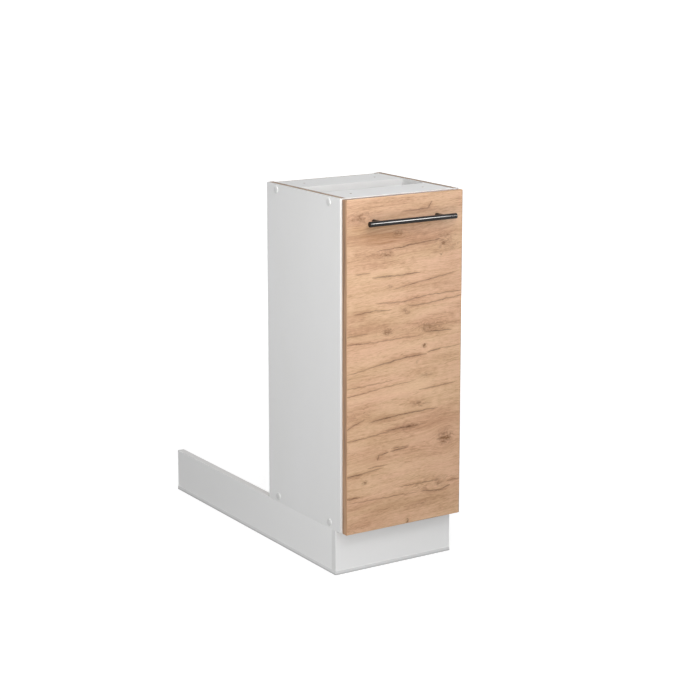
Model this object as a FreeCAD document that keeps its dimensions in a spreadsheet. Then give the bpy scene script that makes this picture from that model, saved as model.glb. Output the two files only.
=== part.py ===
import FreeCAD, Part
import Sketcher
import os
import re

# Kitchen base cabinet, 300 mm wide, in millimetres.
# X runs to the right, Y to the back, Z up from the floor.
# Places are worked out from the middle of the width, the front plane of the carcass and the floor,
# and every piece is then moved by HOME_Y so that the origin lies under the middle of the whole outline.

SIZES = {
    # carcass
    "width": 300,
    "depth": 300,
    "carcass_height": 720,
    "leg_height": 100,
    "board": 18,
    "band": 1,
    "rail_width": 100,
    "back_thick": 3,
    "back_inset": 10,
    "groove_deep": 8,
    "fit_gap": 0.1,
    # shelf
    "shelf_height": 360,
    "shelf_setback": 25,
    "shelf_side_gap": 1,
    "pin_radius": 2.5,
    "pin_deep": 10,
    "pin_reach": 8,
    "pin_front": 55,
    "pin_rear": 60,
    "pin_pitch": 32,
    # connecting screws, caps and dowels of the carcass
    "screw_inset": 12.5,
    "screw_front": 44,
    "screw_rear": 41,
    "screw_length": 50,
    "screw_core": 2.5,
    "screw_shank": 3.4,
    "screw_head": 4.75,
    "screw_head_deep": 3.5,
    "drive_radius": 2,
    "drive_deep": 2.5,
    "cap_radius": 8,
    "cap_rim": 1,
    "cap_shoulder": 6.9,
    "cap_shoulder_high": 2,
    "cap_flat": 5,
    "cap_dome": 2.3,
    "dowel_radius": 4,
    "dowel_length": 35,
    "dowel_in_panel": 12,
    "dowel_front": 80,
    "dowel_rear": 95,
    # worktop screw holes in the rails
    "worktop_hole": 2.5,
    "worktop_hole_side": 40,
    "worktop_hole_edge": 50,
    # door
    "door_gap": 4,
    "door_thick": 16,
    "door_band": 2,
    "door_arris": 1.6,
    "door_low": 1,
    "door_top_gap": 1,
    "reveal": 2,
    "bumper_radius": 4,
    "bumper_play": 0.2,
    "bumper_inset": 40,
    # bar handle
    "bar_radius": 6,
    "bar_length": 220,
    "bar_chamfer": 0.8,
    "bar_drop": 50,
    "bar_reach": 29,
    "post_spacing": 160,
    "post_radius": 5,
    "post_bite": 3,
    "handle_screw": 2,
    "handle_screw_head": 4,
    "handle_screw_head_thick": 2.2,
    "handle_screw_bite": 10,
    # hinges
    "hinge_inset": 100,
    "cup_radius": 17.5,
    "cup_wall": 1,
    "cup_deep": 13,
    "cup_edge": 3,
    "flange_thick": 1.2,
    "flange_width": 16,
    "flange_length": 60,
    "cup_screw_spacing": 48,
    "pivot_edge": 7,
    "pivot_deep": 8,
    "pivot_radius": 1.25,
    "pivot_play": 0.05,
    "knuckle_radius": 2.3,
    "knuckle_width": 5,
    "arm_thick": 2,
    "arm_width": 14,
    "arm_end": 54,
    "arm_neck": 2.1,
    "arm_cheek": 1.2,
    "arm_cheek_high": 6,
    "arm_cheek_start": 8,
    "plate_thick": 1.6,
    "plate_start": 22,
    "plate_end": 52,
    "plate_length": 48,
    "plate_screw_line": 37,
    "plate_screw_spacing": 32,
    "small_screw": 1.75,
    "small_screw_head": 3.6,
    "small_screw_head_thick": 1.3,
    "small_screw_deep": 10,
    # levelling legs
    "leg_clear": 4,
    "leg_front": 80,
    "leg_rear": 66,
    "socket_flange": 30,
    "socket_flange_thick": 5,
    "socket_radius": 20,
    "socket_bore": 15,
    "socket_length": 62,
    "foot_play": 0.3,
    "foot_radius": 24,
    "foot_thick": 10,
    "stem_clear": 12,
    "socket_screw_spacing": 35.4,
    # plinth
    "plinth_gap": 0.3,
    "plinth_arris": 1.2,
    "plinth_thick": 16,
    "plinth_setback": 19,
    "plinth_end": 750,
    "seal_thick": 4,
    "seal_lip": 8,
    "lip_thick": 0.9,
    "lip_flare": 1.6,
    "clip_drop": 54,
    "clip_step": 16,
    "clip_high": 12,
    "clip_wall": 3,
    "clip_pad": 30,
    "clip_mouth": 26,
    "bracket_clear": 1,
    "bracket_thick": 2,
    "bracket_high": 50,
    "bracket_low": 25,
}

# Derived places, as text that is worked out from the sizes above
CARCASS_TOP = "(leg_height + carcass_height)"
INNER = "(width / 2 - board)"
BACK_FACE = "(depth - back_inset - back_thick)"
DOOR_BACK = "(-door_gap)"
DOOR_FRONT = "(-door_gap - door_thick)"
DOOR_BOTTOM = "(leg_height - door_low)"
DOOR_TOP = f"({CARCASS_TOP} - door_top_gap)"
DOOR_HEIGHT = f"({DOOR_TOP} - {DOOR_BOTTOM})"
DOOR_EDGE = "(width / 2 - reveal)"
BAR_Y = f"({DOOR_FRONT} - bar_reach)"
BAR_Z = f"({DOOR_TOP} - bar_drop)"
PIVOT_X = f"({DOOR_EDGE} - pivot_edge)"
PIVOT_Y = "(-door_gap - pivot_deep)"
CUP_X = f"({DOOR_EDGE} - cup_edge - cup_radius)"
PLATE_X = f"({INNER} - plate_thick)"
ARM_X = f"({PLATE_X} - arm_thick)"
SHELF_Z = "(leg_height + shelf_height)"
LEG_X = "(width / 2 - plinth_thick - leg_clear - socket_flange)"
STEM_TOP = "(leg_height - stem_clear)"
PLINTH_TALL = "(leg_height - plinth_gap - seal_thick)"
CLIP_Z = "(leg_height - clip_drop)"
BRACKET_LEG = "(leg_clear + socket_flange - clip_pad / 2 - bracket_clear)"
HOME_Y = f"((plinth_end + {BAR_Y} - bar_radius) / 2)"

RIGHT = FreeCAD.Vector(1, 0, 0)
BACK = FreeCAD.Vector(0, 1, 0)
UP = FreeCAD.Vector(0, 0, 1)
SIDES = {"left": -1, "right": 1}
ENDS = {"low": -1, "high": 1}
TURNS = {
    "x": FreeCAD.Rotation(BACK, 90),
    "-x": FreeCAD.Rotation(BACK, -90),
    "y": FreeCAD.Rotation(RIGHT, -90),
    "-y": FreeCAD.Rotation(RIGHT, 90),
    "z": FreeCAD.Rotation(),
    "-z": FreeCAD.Rotation(RIGHT, 180),
}
PIN_HOLES = (-2, -1, 0, 1, 2)
FULL_TURN = 360

doc = FreeCAD.newDocument("KitchenBaseCabinet")
sheet = doc.addObject("Spreadsheet::Sheet", "Sizes")
nodes = {}


def fill_sheet():
    for row, (alias, size) in enumerate(SIZES.items(), start=1):
        sheet.set(f"A{row}", alias)
        sheet.set(f"B{row}", str(size))
        sheet.setAlias(f"B{row}", alias)
    doc.recompute()


def sized(text):
    """The expression for a size written with plain aliases."""
    return re.sub(r"\b[a-z_]{2,}\b(?!\()", lambda word: "Sizes." + word.group(0), str(text))


def value(text):
    return float(sheet.evalExpression(sized(text)))


def place(obj, turn, x, y, z):
    obj.Placement = FreeCAD.Placement(FreeCAD.Vector(), turn)
    obj.setExpression("Placement.Base.x", sized(x))
    obj.setExpression("Placement.Base.y", sized(f"{y} - {HOME_Y}"))
    obj.setExpression("Placement.Base.z", sized(z))
    return obj


def block(name, x, y, z, dx, dy, dz):
    """A box from its lowest corner and its three sides."""
    obj = doc.addObject("Part::Box", name)
    for side, text in (("Length", dx), ("Width", dy), ("Height", dz)):
        obj.setExpression(side, sized(text))
    return place(obj, TURNS["z"], x, y, z)


def rod(name, axis, x, y, z, radius, length):
    """A cylinder that starts at a point and runs along an axis."""
    obj = doc.addObject("Part::Cylinder", name)
    obj.setExpression("Radius", sized(radius))
    obj.setExpression("Height", sized(length))
    return place(obj, TURNS[axis], x, y, z)


def gathered(name, shapes):
    """Separate solids in one object."""
    obj = doc.addObject("Part::Compound", name)
    obj.Links = shapes
    return obj


def joined(name, shapes):
    obj = doc.addObject("Part::MultiFuse", name)
    obj.Shapes = shapes
    obj.Refine = True
    return obj


def cut(name, base, tools):
    obj = doc.addObject("Part::Cut", name)
    obj.Base = base
    obj.Tool = tools[0] if len(tools) == 1 else joined(name + "_tools", tools)
    return obj


def outline(body, plane, points):
    """A closed sketch through points whose places are bound to the sizes."""
    sketch = body.newObject("Sketcher::SketchObject", body.Name + "_outline")
    origin = next(part for part in body.Origin.OriginFeatures if part.Role == plane)
    sketch.AttachmentSupport = (origin, "")
    sketch.MapMode = "FlatFace"
    corners = [FreeCAD.Vector(value(u), value(v), 0) for u, v in points]
    count = len(corners)
    for index in range(count):
        sketch.addGeometry(Part.LineSegment(corners[index], corners[(index + 1) % count]), False)
    for index in range(count):
        following = (index + 1) % count
        sketch.addConstraint(Sketcher.Constraint("Coincident", index, 2, following, 1))
    for index, (u, v) in enumerate(points):
        bind_corner(sketch, index, "DistanceX", u, -2)
        bind_corner(sketch, index, "DistanceY", v, -1)
    return sketch


def bind_corner(sketch, index, kind, text, axis):
    """Holds a corner on an axis where its distance is 0, and at a bound distance elsewhere."""
    if text == "0":
        sketch.addConstraint(Sketcher.Constraint("PointOnObject", index, 1, axis))
        return
    number = sketch.addConstraint(Sketcher.Constraint(kind, -1, 1, index, 1, value(text)))
    sketch.setExpression(f"Constraints[{number}]", sized(text))


def turned(name, points, axis, x, y, z):
    """A lathe piece: points are (radius, height) round its own axis, which starts at a point."""
    body = doc.addObject("PartDesign::Body", name)
    sketch = outline(body, "XZ_Plane", points)
    spin = body.newObject("PartDesign::Revolution", name + "_spin")
    spin.Profile = sketch
    spin.ReferenceAxis = (sketch, ["V_Axis"])
    spin.Angle = FULL_TURN
    return place(body, TURNS[axis], x, y, z)


def drawn(name, points, length, turn, x, y, z):
    """An extruded profile, turned to its direction."""
    body = doc.addObject("PartDesign::Body", name)
    pad = body.newObject("PartDesign::Pad", name + "_pad")
    pad.Profile = outline(body, "XY_Plane", points)
    pad.setExpression("Length", sized(length))
    return place(body, turn, x, y, z)


def node(label, obj):
    """Names a finished sub-part."""
    obj.Label = label
    nodes[label] = obj
    return obj


def screw_places():
    """Heights and depths of the connecting screws, the same on both sides."""
    heights = {"top": f"{CARCASS_TOP} - screw_inset", "bottom": "leg_height + screw_inset"}
    depths = {"front": "screw_front", "rear": "depth - screw_rear"}
    return [(a + "_" + b, depths[b], heights[a]) for a in heights for b in depths]


def dowel_places():
    heights = {"top": f"{CARCASS_TOP} - board / 2", "bottom": "leg_height + board / 2"}
    depths = {"front": "dowel_front", "rear": "depth - dowel_rear"}
    return [(a + "_" + b, depths[b], heights[a]) for a in heights for b in depths]


def pin_columns():
    return {"front": "pin_front", "rear": "depth - pin_rear"}


def inward(side):
    return "x" if SIDES[side] < 0 else "-x"


def outward(side):
    return "-x" if SIDES[side] < 0 else "x"


def side_panel(side):
    """A side board with its groove, screw holes, dowel holes and rows of shelf pin holes."""
    sign = SIDES[side]
    name = side + "_side_panel"
    low_x = "-width / 2" if sign < 0 else INNER
    board = block(name + "_board", low_x, "band", "leg_height", "board", "depth - band", "carcass_height")
    groove_x = f"-{INNER} - groove_deep" if sign < 0 else INNER
    tools = [block(name + "_groove", groove_x, BACK_FACE, "leg_height",
                   "groove_deep", "back_thick", "carcass_height")]
    outer = f"{sign} * width / 2"
    inner = f"{sign} * {INNER}"
    for tag, y, z in screw_places():
        tools.append(rod(f"{name}_{tag}_hole", inward(side), outer, y, z, "screw_shank + fit_gap", "board"))
        tools.append(rod(f"{name}_{tag}_seat", inward(side), outer, y, z,
                         "screw_head + fit_gap", "screw_head_deep"))
    for tag, y, z in dowel_places():
        tools.append(rod(f"{name}_{tag}_dowel", outward(side), inner, y, z, "dowel_radius", "dowel_in_panel"))
    for tag, y in pin_columns().items():
        for index, step in enumerate(PIN_HOLES):
            z = f"{SHELF_Z} - pin_radius + {step} * pin_pitch"
            tools.append(rod(f"{name}_{tag}_pin_{index}", outward(side), inner, y, z,
                             "pin_radius", "pin_deep"))
    if side == "right":
        tools += plate_screw_holes(name, inner)
    node(name, cut(name, board, tools))
    node(side + "_side_edge_band",
         block(side + "_side_edge_band", low_x, "0", "leg_height", "board", "band", "carcass_height"))


def hinge_heights():
    return {"upper": f"{DOOR_TOP} - hinge_inset", "lower": f"{DOOR_BOTTOM} + hinge_inset"}


def plate_screw_holes(name, inner):
    holes = []
    for tag, z in hinge_heights().items():
        for end, sign in ENDS.items():
            height = f"{z} + {sign} * plate_screw_spacing / 2"
            holes.append(rod(f"{name}_{tag}_plate_hole_{end}", "x", inner, "plate_screw_line", height,
                             "small_screw", "small_screw_deep"))
    return holes


def end_holes(name, level, row):
    """Pilot and dowel holes in both ends of a board that lies between the sides."""
    tools = []
    for side, sign in SIDES.items():
        end = f"{sign} * {INNER}"
        for tag, y, z in screw_places():
            if tag in [level + "_" + place_name for place_name in row]:
                tools.append(rod(f"{name}_{side}_{tag}_pilot", inward(side), end, y, z,
                                 "screw_core + fit_gap", "screw_length - board"))
        for tag, y, z in dowel_places():
            if tag in [level + "_" + place_name for place_name in row]:
                tools.append(rod(f"{name}_{side}_{tag}_dowel", inward(side), end, y, z,
                                 "dowel_radius", "dowel_length - dowel_in_panel"))
    return tools


def rails():
    """Two flat rails close the top; each has two holes for the worktop's screws."""
    low_z = f"{CARCASS_TOP} - board"
    span = f"2 * {INNER}"
    starts = {"front": "band", "rear": f"{BACK_FACE} - rail_width + band"}
    hole_lines = {"front": "worktop_hole_edge", "rear": f"{BACK_FACE} - worktop_hole_edge"}
    for row, start in starts.items():
        name = row + "_top_rail"
        board = block(name + "_board", f"-{INNER}", start, low_z, span, "rail_width - band", "board")
        tools = end_holes(name, "top", [row])
        for side, sign in SIDES.items():
            x = f"{sign} * ({INNER} - worktop_hole_side)"
            tools.append(rod(f"{name}_{side}_hole", "z", x, hole_lines[row], low_z, "worktop_hole", "board"))
        node(name, cut(name, board, tools))
        node(row + "_rail_edge_band",
             block(row + "_rail_edge_band", f"-{INNER}", f"{start} - band", low_z, span, "band", "board"))


def bottom_panel():
    span = f"2 * {INNER}"
    board = block("bottom_board", f"-{INNER}", "band", "leg_height", span, f"{BACK_FACE} - band", "board")
    tools = end_holes("bottom_panel", "bottom", ["front", "rear"])
    for tag, x, y in leg_places():
        for index, (dx, dy) in enumerate(socket_screw_offsets()):
            tools.append(rod(f"bottom_{tag}_screw_{index}", "z", f"{x} + {dx}", f"{y} + {dy}", "leg_height",
                             "small_screw", "small_screw_deep"))
    node("bottom_panel", cut("bottom_panel", board, tools))
    node("bottom_edge_band",
         block("bottom_edge_band", f"-{INNER}", "0", "leg_height", span, "band", "board"))


def back_panel():
    low_x = f"-{INNER} - groove_deep + fit_gap"
    span = f"2 * ({INNER} + groove_deep - fit_gap)"
    node("back_panel",
         block("back_panel", low_x, BACK_FACE, "leg_height", span, "back_thick", "carcass_height"))


def shelf():
    low_x = f"-{INNER} + shelf_side_gap"
    span = f"2 * ({INNER} - shelf_side_gap)"
    deep = f"{BACK_FACE} - shelf_setback - shelf_side_gap"
    node("shelf", block("shelf", low_x, "shelf_setback + band", SHELF_Z, span, f"{deep} - band", "board"))
    node("shelf_edge_band", block("shelf_edge_band", low_x, "shelf_setback", SHELF_Z, span, "band", "board"))
    pins = []
    for side, sign in SIDES.items():
        start = f"{sign} * ({INNER} + pin_deep)"
        for tag, y in pin_columns().items():
            pins.append(rod(f"{side}_{tag}_shelf_pin", inward(side), start, y, f"{SHELF_Z} - pin_radius",
                            "pin_radius", "pin_deep + pin_reach"))
    node("shelf_pins", gathered("shelf_pins", pins))


def carcass_fixings(side):
    """Connecting screws with a drive hole in the head, and the cover caps that plug into it."""
    outer = f"{SIDES[side]} * width / 2"
    screw = [("drive_radius", "0"), ("screw_head", "0"), ("screw_head", "screw_head_deep"),
             ("screw_shank", "screw_head_deep"), ("screw_shank", "board"), ("screw_core", "board"),
             ("screw_core", "screw_length - screw_core"), ("0", "screw_length"), ("0", "drive_deep"),
             ("drive_radius", "drive_deep")]
    cap = [("0", "0"), ("cap_radius", "0"), ("cap_radius", "cap_rim"),
           ("cap_shoulder", "cap_shoulder_high"), ("cap_flat", "cap_dome"), ("0", "cap_dome")]
    screws = []
    caps = []
    for tag, y, z in screw_places():
        screws.append(turned(f"{side}_{tag}_screw", screw, inward(side), outer, y, z))
        dome = turned(f"{side}_{tag}_cap_dome", cap, outward(side), outer, y, z)
        plug = rod(f"{side}_{tag}_cap_plug", inward(side), outer, y, z,
                   "drive_radius - fit_gap", "drive_deep - fit_gap")
        caps.append(joined(f"{side}_{tag}_cap", [dome, plug]))
    node(side + "_connecting_screws", gathered(side + "_connecting_screws", screws))
    node(side + "_cover_caps", gathered(side + "_cover_caps", caps))


def dowels():
    pegs = []
    for side, sign in SIDES.items():
        for tag, y, z in dowel_places():
            start = f"{sign} * ({INNER} + dowel_in_panel)"
            pegs.append(rod(f"{side}_{tag}_peg", inward(side), start, y, z, "dowel_radius", "dowel_length"))
    node("carcass_dowels", gathered("carcass_dowels", pegs))


def strip_edges(pad, ends_too):
    """Names of the strip's edges that show: the long ones on its outer face and, if asked, round its ends."""
    names = []
    for number, edge in enumerate(pad.Shape.Edges, start=1):
        box = edge.BoundBox
        outer = box.XMin < Part.Precision.confusion()
        along = box.ZLength > Part.Precision.confusion()
        if outer and (along or ends_too):
            names.append(f"Edge{number}")
    return names


def soft_strip(name, section, length, turn, x, y, z, ends_too):
    """A strip of a section (thick, tall, arris): its outer face is at its own X = 0, with rounded arrises."""
    thick, tall, arris = section
    profile = [("0", "0"), (thick, "0"), (thick, tall), ("0", tall)]
    body = drawn(name, profile, length, turn, x, y, z)
    doc.recompute()
    pad = body.Tip
    rounding = body.newObject("PartDesign::Fillet", name + "_arris")
    rounding.Base = (pad, strip_edges(pad, ends_too))
    rounding.setExpression("Radius", sized(arris))
    node(name, body)


def door_bands():
    """Upright bands run the door's full height, and the level ones lie between them."""
    inside = f"({DOOR_EDGE} - door_band)"
    level = f"2 * {inside}"
    right_turn = FreeCAD.Rotation(-RIGHT, -BACK, UP, "XYZ")
    top_turn = FreeCAD.Rotation(-UP, BACK, RIGHT, "XYZ")
    bottom_turn = FreeCAD.Rotation(UP, BACK, -RIGHT, "XYZ")
    section = ("door_band", "door_thick", "door_arris")
    soft_strip("door_left_edge_band", section, DOOR_HEIGHT, TURNS["z"],
               f"-{DOOR_EDGE}", DOOR_FRONT, DOOR_BOTTOM, True)
    soft_strip("door_right_edge_band", section, DOOR_HEIGHT, right_turn,
               DOOR_EDGE, DOOR_BACK, DOOR_BOTTOM, True)
    soft_strip("door_top_edge_band", section, level, top_turn, f"-{inside}", DOOR_FRONT, DOOR_TOP, False)
    soft_strip("door_bottom_edge_band", section, level, bottom_turn, inside, DOOR_FRONT, DOOR_BOTTOM, False)


def door():
    """The door board with its cup bores and screw holes, between its four edge bands."""
    board = block("door_board", f"-{DOOR_EDGE} + door_band", DOOR_FRONT, f"{DOOR_BOTTOM} + door_band",
                  f"2 * ({DOOR_EDGE} - door_band)", "door_thick", f"{DOOR_HEIGHT} - 2 * door_band")
    tools = []
    for tag, z in hinge_heights().items():
        tools.append(rod(f"door_{tag}_bore", "-y", CUP_X, DOOR_BACK, z,
                         "cup_radius + fit_gap", "cup_deep + fit_gap"))
        for end, sign in ENDS.items():
            height = f"{z} + {sign} * cup_screw_spacing / 2"
            tools.append(rod(f"door_{tag}_cup_screw_{end}", "-y", CUP_X, DOOR_BACK, height,
                             "small_screw", "small_screw_deep"))
    for side, sign in SIDES.items():
        tools.append(rod(f"door_{side}_handle_hole", "-y", f"{sign} * post_spacing / 2", DOOR_BACK, BAR_Z,
                         "handle_screw + fit_gap", "door_thick"))
    node("door_panel", cut("door_panel", board, tools))
    door_bands()


def handle():
    """A round bar on two posts, screwed on through the door."""
    bar = [("0", "0"), ("bar_radius - bar_chamfer", "0"), ("bar_radius", "bar_chamfer"),
           ("bar_radius", "bar_length - bar_chamfer"), ("bar_radius - bar_chamfer", "bar_length"),
           ("0", "bar_length")]
    whole = turned("handle_bar_whole", bar, "x", "-bar_length / 2", BAR_Y, BAR_Z)
    reach = "bar_reach - bar_radius + post_bite"
    sockets = []
    screws = []
    screw_long = "handle_screw_head_thick + door_thick + handle_screw_bite"
    screw = [("0", "0"), ("handle_screw_head", "0"), ("handle_screw_head", "handle_screw_head_thick"),
             ("handle_screw", "handle_screw_head_thick"), ("handle_screw", screw_long), ("0", screw_long)]
    for side, sign in SIDES.items():
        x = f"{sign} * post_spacing / 2"
        sockets.append(rod(f"bar_{side}_socket", "-y", x, DOOR_FRONT, BAR_Z, "post_radius", reach))
        post = rod(f"{side}_post_whole", "-y", x, DOOR_FRONT, BAR_Z, "post_radius", reach)
        thread = rod(f"{side}_post_thread", "-y", x, DOOR_FRONT, BAR_Z,
                     "handle_screw + fit_gap", "handle_screw_bite + fit_gap")
        node(side + "_handle_post", cut(side + "_handle_post", post, [thread]))
        screws.append(turned(f"{side}_handle_screw", screw, "-y", x,
                             f"{DOOR_BACK} + handle_screw_head_thick", BAR_Z))
    node("handle_bar", cut("handle_bar", whole, sockets))
    node("handle_screws", gathered("handle_screws", screws))


def bumpers():
    """Soft dots on the free side of the carcass front."""
    heights = {"upper": f"{CARCASS_TOP} - bumper_inset", "lower": "leg_height + bumper_inset"}
    thick = "door_gap - bumper_play"
    dots = [rod(tag + "_bumper", "-y", "(-width / 2 + board / 2)", "0", z, "bumper_radius", thick)
            for tag, z in heights.items()]
    node("door_bumpers", gathered("door_bumpers", dots))


def pan_screw(length):
    """The profile of a small screw whose head starts at its own origin."""
    head = "small_screw_head_thick"
    tip = f"{head} + {length}"
    return [("0", "0"), ("small_screw_head", "0"), ("small_screw_head", head), ("small_screw", head),
            ("small_screw", tip), ("0", tip)]


def hinge_cup(tag, z):
    """A round cup with a flange, let into the door; the pivot's holes go through its wall."""
    name = tag + "_hinge_cup"
    can = rod(name + "_can", "-y", CUP_X, DOOR_BACK, z, "cup_radius", "cup_deep")
    flange = block(name + "_flange", f"{CUP_X} - flange_width / 2", DOOR_BACK, f"{z} - flange_length / 2",
                   "flange_width", "flange_thick", "flange_length")
    hollow = rod(name + "_hollow", "y", CUP_X, f"{DOOR_BACK} - cup_deep + cup_wall", z,
                 "cup_radius - cup_wall", "cup_deep + flange_thick")
    pivot = rod(name + "_pivot_hole", "z", PIVOT_X, PIVOT_Y, f"{z} - cup_radius",
                "pivot_radius", "2 * cup_radius")
    tools = [hollow, pivot]
    screws = []
    screw = pan_screw("flange_thick + small_screw_deep")
    for end, sign in ENDS.items():
        height = f"{z} + {sign} * cup_screw_spacing / 2"
        tools.append(rod(f"{name}_screw_hole_{end}", "y", CUP_X, DOOR_BACK, height,
                         "small_screw", "flange_thick"))
        top = f"{DOOR_BACK} + flange_thick + small_screw_head_thick"
        screws.append(turned(f"{name}_screw_{end}", screw, "-y", CUP_X, top, height))
    node(name, cut(name, joined(name + "_whole", [can, flange]), tools))
    return screws


def cup_half_chord():
    """Half the length of the pivot, which ends inside the cup's wall."""
    return f"sqrt(cup_radius^2 - ({PIVOT_X} + pivot_radius - {CUP_X})^2)"


def hinge_arm(tag, z):
    """A bent steel arm with the pivot's knuckle at its tip and two stiffening cheeks."""
    name = tag + "_hinge_arm"
    low_y = f"{PIVOT_Y} - arm_thick / 2"
    tongue = block(name + "_tongue", ARM_X, low_y, f"{z} - knuckle_width / 2",
                   f"{PIVOT_X} - {ARM_X}", "arm_thick", "knuckle_width")
    knuckle = rod(name + "_knuckle", "z", PIVOT_X, PIVOT_Y, f"{z} - knuckle_width / 2",
                  "knuckle_radius", "knuckle_width")
    neck = block(name + "_neck", ARM_X, low_y, f"{z} - arm_width / 2", "arm_neck", "arm_thick", "arm_width")
    strip = block(name + "_strip", ARM_X, low_y, f"{z} - arm_width / 2",
                  "arm_thick", f"arm_end - ({low_y})", "arm_width")
    cheeks = []
    for side, start in (("low", f"{z} - arm_width / 2"), ("high", f"{z} + arm_width / 2 - arm_cheek")):
        cheeks.append(block(f"{name}_{side}_cheek", f"{ARM_X} - arm_cheek_high", "arm_cheek_start", start,
                            "arm_cheek_high", "arm_end - arm_cheek_start", "arm_cheek"))
    bore = rod(name + "_bore", "z", PIVOT_X, PIVOT_Y, f"{z} - knuckle_width",
               "pivot_radius + pivot_play", "2 * knuckle_width")
    screw_hole = rod(name + "_screw_hole", "x", f"{ARM_X} - arm_cheek_high", "plate_screw_line", z,
                     "small_screw", "arm_cheek_high + arm_thick")
    whole = joined(name + "_whole", [tongue, knuckle, neck, strip] + cheeks)
    node(name, cut(name, whole, [bore, screw_hole]))


def mounting_plate(tag, z):
    """The plate on the side panel that carries the arm, with its screws."""
    name = tag + "_mounting_plate"
    plate = block(name + "_blank", PLATE_X, "plate_start", f"{z} - plate_length / 2",
                  "plate_thick", "plate_end - plate_start", "plate_length")
    tools = [rod(name + "_arm_hole", "x", PLATE_X, "plate_screw_line", z, "small_screw", "plate_thick")]
    screws = []
    plate_screw = pan_screw("plate_thick + small_screw_deep")
    arm_screw = pan_screw("arm_thick + plate_thick")
    for end, sign in ENDS.items():
        height = f"{z} + {sign} * plate_screw_spacing / 2"
        tools.append(rod(f"{name}_hole_{end}", "x", PLATE_X, "plate_screw_line", height,
                         "small_screw", "plate_thick"))
        screws.append(turned(f"{name}_screw_{end}", plate_screw, "x", f"{PLATE_X} - small_screw_head_thick",
                             "plate_screw_line", height))
    screws.append(turned(name + "_arm_screw", arm_screw, "x", f"{ARM_X} - small_screw_head_thick",
                         "plate_screw_line", z))
    node(name, cut(name, plate, tools))
    return screws


def hinges():
    cup_screws = []
    plate_screws = []
    for tag, z in hinge_heights().items():
        cup_screws += hinge_cup(tag, z)
        hinge_arm(tag, z)
        plate_screws += mounting_plate(tag, z)
        half = cup_half_chord()
        pin = rod(tag + "_hinge_pin", "z", PIVOT_X, PIVOT_Y, f"{z} - {half}", "pivot_radius", f"2 * {half}")
        node(tag + "_hinge_pin", pin)
    node("hinge_cup_screws", gathered("hinge_cup_screws", cup_screws))
    node("hinge_plate_screws", gathered("hinge_plate_screws", plate_screws))


def leg_places():
    depths = {"front": "leg_front", "rear": "depth - leg_rear"}
    return [(f"{row}_{side}", f"{sign} * {LEG_X}", y)
            for row, y in depths.items() for side, sign in SIDES.items()]


def socket_screw_offsets():
    half = "socket_screw_spacing / 2"
    return [(f"{a} * {half}", f"{b} * {half}") for a in SIDES.values() for b in SIDES.values()]


def legs():
    """Four sockets under the bottom panel, each with a screw foot."""
    socket = [("socket_bore", "0"), ("socket_flange", "0"), ("socket_flange", "socket_flange_thick"),
              ("socket_radius", "socket_flange_thick"), ("socket_radius", "socket_length"),
              ("socket_bore", "socket_length")]
    stem = "socket_bore - foot_play"
    foot = [("0", "0"), ("foot_radius", "0"), ("foot_radius", "foot_thick"), (stem, "foot_thick"),
            (stem, STEM_TOP), ("0", STEM_TOP)]
    screw = pan_screw("socket_flange_thick + small_screw_deep")
    screw_low = "leg_height - socket_flange_thick - small_screw_head_thick"
    screws = []
    for tag, x, y in leg_places():
        blank = turned(tag + "_leg_socket_blank", socket, "-z", x, y, "leg_height")
        holes = []
        for index, (dx, dy) in enumerate(socket_screw_offsets()):
            spot = (f"{x} + {dx}", f"{y} + {dy}")
            holes.append(rod(f"{tag}_socket_hole_{index}", "-z", *spot, "leg_height",
                             "small_screw", "socket_flange_thick"))
            screws.append(turned(f"{tag}_socket_screw_{index}", screw, "z", *spot, screw_low))
        node(tag + "_leg_socket", cut(tag + "_leg_socket", blank, holes))
        node(tag + "_leg_foot", turned(tag + "_leg_foot", foot, "z", x, y, "0"))
    node("leg_socket_screws", gathered("leg_socket_screws", screws))


def plinth():
    """Front and side boards, the seal on the foot of each, and the bracket in their corner."""
    section = ("plinth_thick", PLINTH_TALL, "plinth_arris")
    front_turn = FreeCAD.Rotation(BACK, UP, RIGHT, "XYZ")
    side_turn = FreeCAD.Rotation(RIGHT, UP, -BACK, "XYZ")
    side_length = "plinth_end - plinth_setback - plinth_thick"
    soft_strip("front_plinth_panel", section, "width", front_turn,
               "-width / 2", "plinth_setback", "seal_thick", True)
    soft_strip("side_plinth_panel", section, side_length, side_turn,
               "-width / 2", "plinth_end", "seal_thick", True)
    seals()
    bracket()
    clips()


def seals():
    """Soft strips: a pad under the board and a lip that flares out at the floor in front of it."""
    lip = [("0", "0"), ("lip_flare", "0"), ("lip_thick", "seal_thick"), ("lip_thick", "seal_lip"),
           ("0", "seal_lip")]
    forward = FreeCAD.Rotation(-BACK, UP, -RIGHT, "XYZ")
    leftward = FreeCAD.Rotation(-RIGHT, UP, BACK, "XYZ")
    front_lip = drawn("front_seal_lip", lip, "width", forward, "width / 2", "plinth_setback", "0")
    front_pad = block("front_seal_pad", "-width / 2", "plinth_setback", "0",
                      "width", "plinth_thick", "seal_thick")
    node("front_plinth_seal", joined("front_plinth_seal", [front_lip, front_pad]))
    long_lip = "plinth_end - plinth_setback"
    side_lip = drawn("side_seal_lip", lip, long_lip, leftward, "-width / 2", "plinth_setback", "0")
    side_pad = block("side_seal_pad", "-width / 2", "plinth_setback + plinth_thick", "0", "plinth_thick",
                     "plinth_end - plinth_setback - plinth_thick", "seal_thick")
    node("side_plinth_seal", joined("side_plinth_seal", [side_lip, side_pad]))


def bracket():
    x = "-width / 2 + plinth_thick"
    y = "plinth_setback + plinth_thick"
    flat = block("bracket_flat", x, y, "bracket_low", BRACKET_LEG, "bracket_thick", "bracket_high")
    upright = block("bracket_upright", x, y, "bracket_low", "bracket_thick", BRACKET_LEG, "bracket_high")
    node("plinth_corner_bracket", joined("plinth_corner_bracket", [flat, upright]))


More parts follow.
